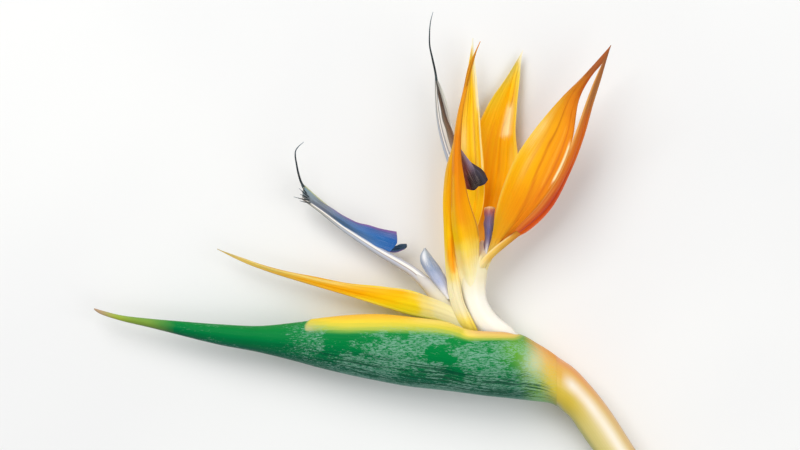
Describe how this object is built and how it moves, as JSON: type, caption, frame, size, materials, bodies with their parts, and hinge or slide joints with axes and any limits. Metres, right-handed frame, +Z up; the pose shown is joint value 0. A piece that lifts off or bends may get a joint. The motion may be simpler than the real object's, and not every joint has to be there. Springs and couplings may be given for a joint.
{
  "type": "bird of paradise flower",
  "caption": "Cut bird of paradise flower lying on its side: beaked green spathe on a scape, upright orange sepals, arrow-shaped blue tongues.",
  "frame": {"origin": "centre of the bounding box in X and Y, on the surface that the flower lies on", "axes": "+Z up from the surface; the beak of the spathe points to -X; the tips of the upright sepals point to +Y"},
  "size_m": [0.2356, 0.2128, 0.0316],
  "materials": {
    "spathe_green": "satin",
    "scape_gold": "satin",
    "neck_cream": "satin",
    "sepal_yellow": "satin",
    "sepal_orange": "satin",
    "tongue_blue": "satin",
    "tongue_mauve": "satin",
    "petal_lavender": "satin",
    "style_dark": "satin"
  },
  "bodies": {
    "root": {"spathe": "spathe_green", "scape": "scape_gold", "flower_1_neck": "neck_cream", "flower_1_sepal_lower": "sepal_yellow", "flower_1_sepal_near": "sepal_yellow", "flower_1_sepal_far": "sepal_yellow", "flower_1_tongue": "tongue_blue", "flower_1_small_petal": "petal_lavender", "flower_1_style": "style_dark", "flower_2_neck": "neck_cream", "flower_2_sepal_near": "sepal_orange", "flower_2_sepal_far": "sepal_yellow", "flower_2_sepal_right": "sepal_orange", "flower_2_tongue": "tongue_mauve", "flower_2_small_petal": "petal_lavender", "flower_2_style": "style_dark"}
  },
  "joints": []
}
